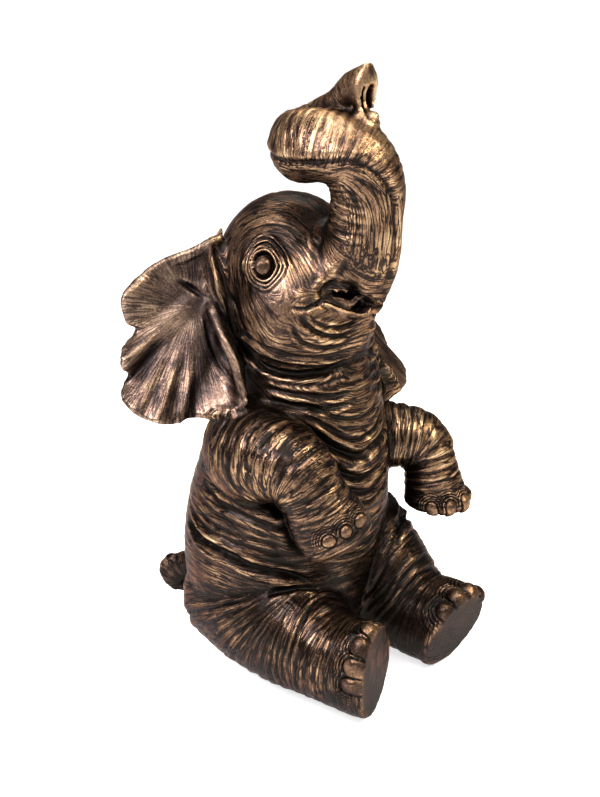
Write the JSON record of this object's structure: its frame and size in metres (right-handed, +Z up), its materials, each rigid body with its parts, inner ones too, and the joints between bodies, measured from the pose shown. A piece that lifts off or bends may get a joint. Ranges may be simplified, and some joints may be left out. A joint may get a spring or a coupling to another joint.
{
  "type": "seated elephant sculpture",
  "caption": "Seated young elephant in hollow cast bronze with a dark rubbed patina, trunk raised in a curl above its head and forelegs lifted; rests on its rump.",
  "frame": {"origin": "middle of the bounding box, on the floor that the rump rests on", "axes": "+Z up; the elephant sits facing -Y, so its right side is -X"},
  "size_m": [0.3218, 0.3406, 0.6304],
  "materials": {
    "bronze": "cast bronze with a near-black brown patina in the folds, rubbed to gold-bronze on the ridges; soles of the feet matt dark olive brown"
  },
  "bodies": {
    "root": {"elephant": "bronze"}
  },
  "joints": []
}
